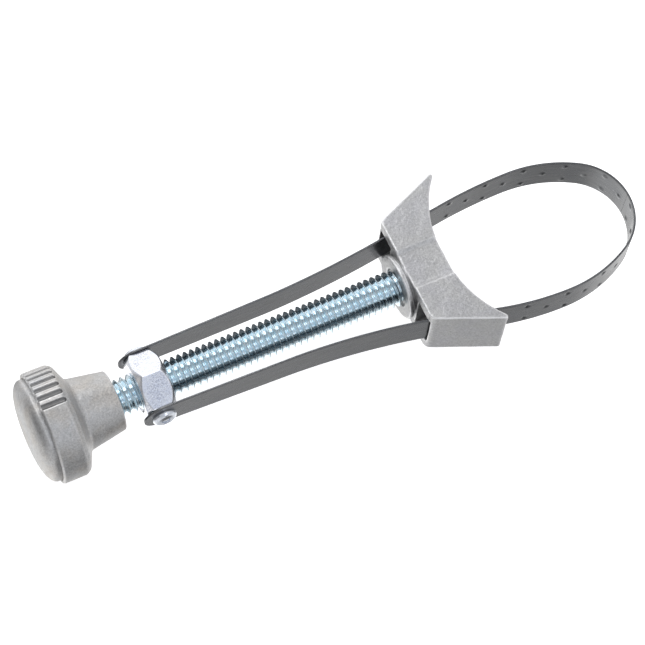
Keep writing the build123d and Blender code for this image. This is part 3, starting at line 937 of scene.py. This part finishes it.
# dark cards between them: (direction, half angle of the core, half angle of the fade, depth)
DARK_CARDS = (
    ((-0.97, 0.1, -0.05), 18, 32, 0.85),
    ((-0.89, -0.16, 0.41), 10, 26, 0.6),
    ((-0.12, 0.66, -0.74), 6, 15, 0.85),
    ((0.23, -0.94, 0.22), 6, 17, 0.6),
    ((0.2, 0.20, 0.96), 3, 11, 0.85),
    ((0.92, 0.08, -0.38), 8, 24, 0.85),
    ((0.15, -0.86, -0.48), 14, 32, 0.85),
    ((0.08, -0.42, -0.9), 14, 34, 0.25),
)
SKY_TOP = (0.53, 0.535, 0.55)
SKY_LOW = (0.84, 0.84, 0.845)
CARD_GREY = 0.02
KEY_WATTS = 1.6
KEY_SIZE_M = 0.5
KEY_PLACE_M = (-0.15, 0.45, 0.75)


def lobe(tree, direction, towards, core, edge):
    """1 within core degrees of a direction, fading to 0 at edge degrees."""
    unit = Vector(towards).normalized()
    dot = add_node(tree, "ShaderNodeVectorMath", {0: direction, 1: tuple(unit)},
                   operation="DOT_PRODUCT").outputs["Value"]
    made = add_node(tree, "ShaderNodeMapRange", {
        "Value": dot, "From Min": math.cos(math.radians(edge)), "From Max": math.cos(math.radians(core)),
        "To Min": 0.0, "To Max": 1.0}, interpolation_type="SMOOTHSTEP")
    return made.outputs["Result"]


def make_surroundings():
    """White surroundings for the camera, and a studio of soft boxes for the metal."""
    world = bpy.data.worlds.new("studio")
    world.use_nodes = True
    tree = world.node_tree
    tree.nodes.clear()
    direction = tree.nodes.new("ShaderNodeTexCoord").outputs["Generated"]
    height = add_node(tree, "ShaderNodeSeparateXYZ", {0: direction}).outputs["Z"]
    colour = mix(tree, spread(tree, height, -0.35, 0.5, 0.0, 1.0), (*SKY_LOW, 1), (*SKY_TOP, 1))
    for towards, core, edge, tint in SOFT_BOXES:
        factor = lobe(tree, direction, towards, core, edge)
        colour = mix(tree, factor, colour, (*tint, 1), "ADD", held=False)
    for towards, core, edge, depth in DARK_CARDS:
        amount = add_node(tree, "ShaderNodeMath", {0: lobe(tree, direction, towards, core, edge),
                                                  1: depth}, operation="MULTIPLY").outputs[0]
        colour = mix(tree, amount, colour, grey(CARD_GREY), held=False)
    studio = add_node(tree, "ShaderNodeBackground", {"Color": colour, "Strength": 1.0})
    white = add_node(tree, "ShaderNodeBackground", {"Color": grey(1.0), "Strength": 1.0})
    seen = tree.nodes.new("ShaderNodeLightPath").outputs["Is Camera Ray"]
    both = add_node(tree, "ShaderNodeMixShader", {0: seen, 1: studio.outputs[0], 2: white.outputs[0]})
    output = tree.nodes.new("ShaderNodeOutputWorld")
    tree.links.new(both.outputs[0], output.inputs["Surface"])
    bpy.context.scene.world = world


def make_key_light():
    """Large soft light from above the loop's far side."""
    data = bpy.data.lights.new("key", "AREA")
    data.shape = "DISK"
    data.size = KEY_SIZE_M
    data.energy = KEY_WATTS
    light = bpy.data.objects.new("key", data)
    bpy.context.scene.collection.objects.link(light)
    place = Vector(KEY_PLACE_M)
    light.matrix_world = Matrix.Translation(place) @ place.to_track_quat("Z", "Y").to_matrix().to_4x4()


make_floor()
make_surroundings()
make_key_light()
bpy.context.scene.view_settings.view_transform = "Standard"
bpy.context.scene.view_settings.look = "None"
